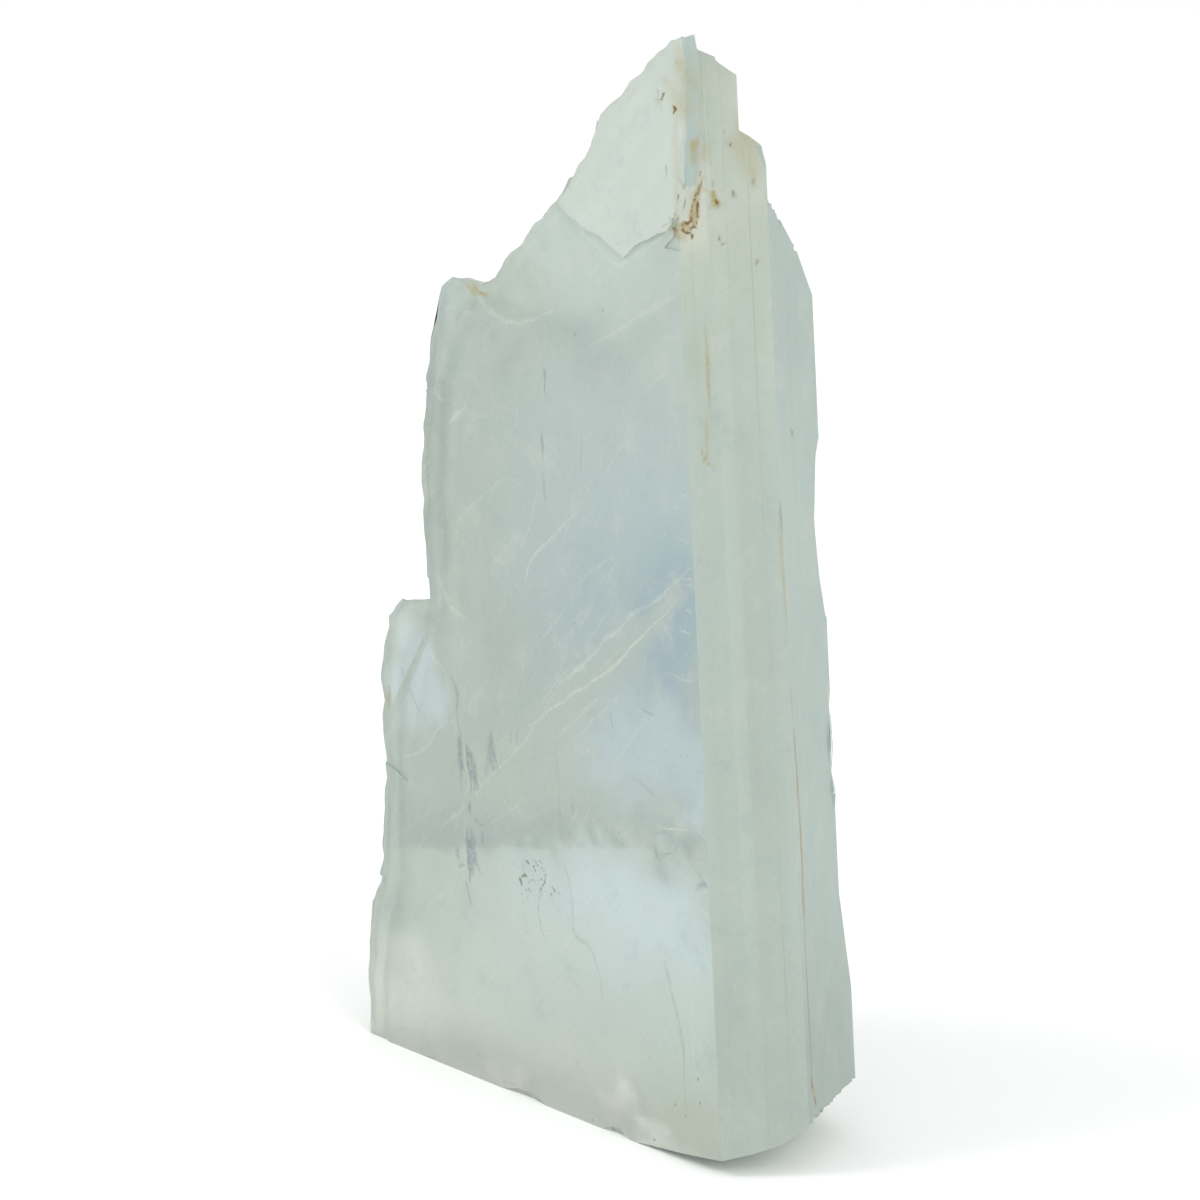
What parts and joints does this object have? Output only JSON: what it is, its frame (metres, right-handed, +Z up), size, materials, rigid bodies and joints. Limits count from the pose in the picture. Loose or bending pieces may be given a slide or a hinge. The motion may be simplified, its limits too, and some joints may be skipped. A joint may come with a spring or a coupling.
{
  "type": "selenite slab",
  "caption": "Upright slab of cleaved selenite crystal: flat broad face, striated prism edge, stepped broken sides, slanting pointed top and a flat foot.",
  "frame": {"origin": "bottom centre of the slab's box, on the surface it stands on", "axes": "+Z up, almost along the crystal's long axis; +X along the broad face towards the striated prism edge; +Y from the broad face through the slab's thickness to its back"},
  "size_m": [0.1148, 0.0358, 0.2001],
  "materials": {
    "selenite": "satin, clear to milky"
  },
  "bodies": {
    "root": {"selenite_slab": "selenite"}
  },
  "joints": []
}
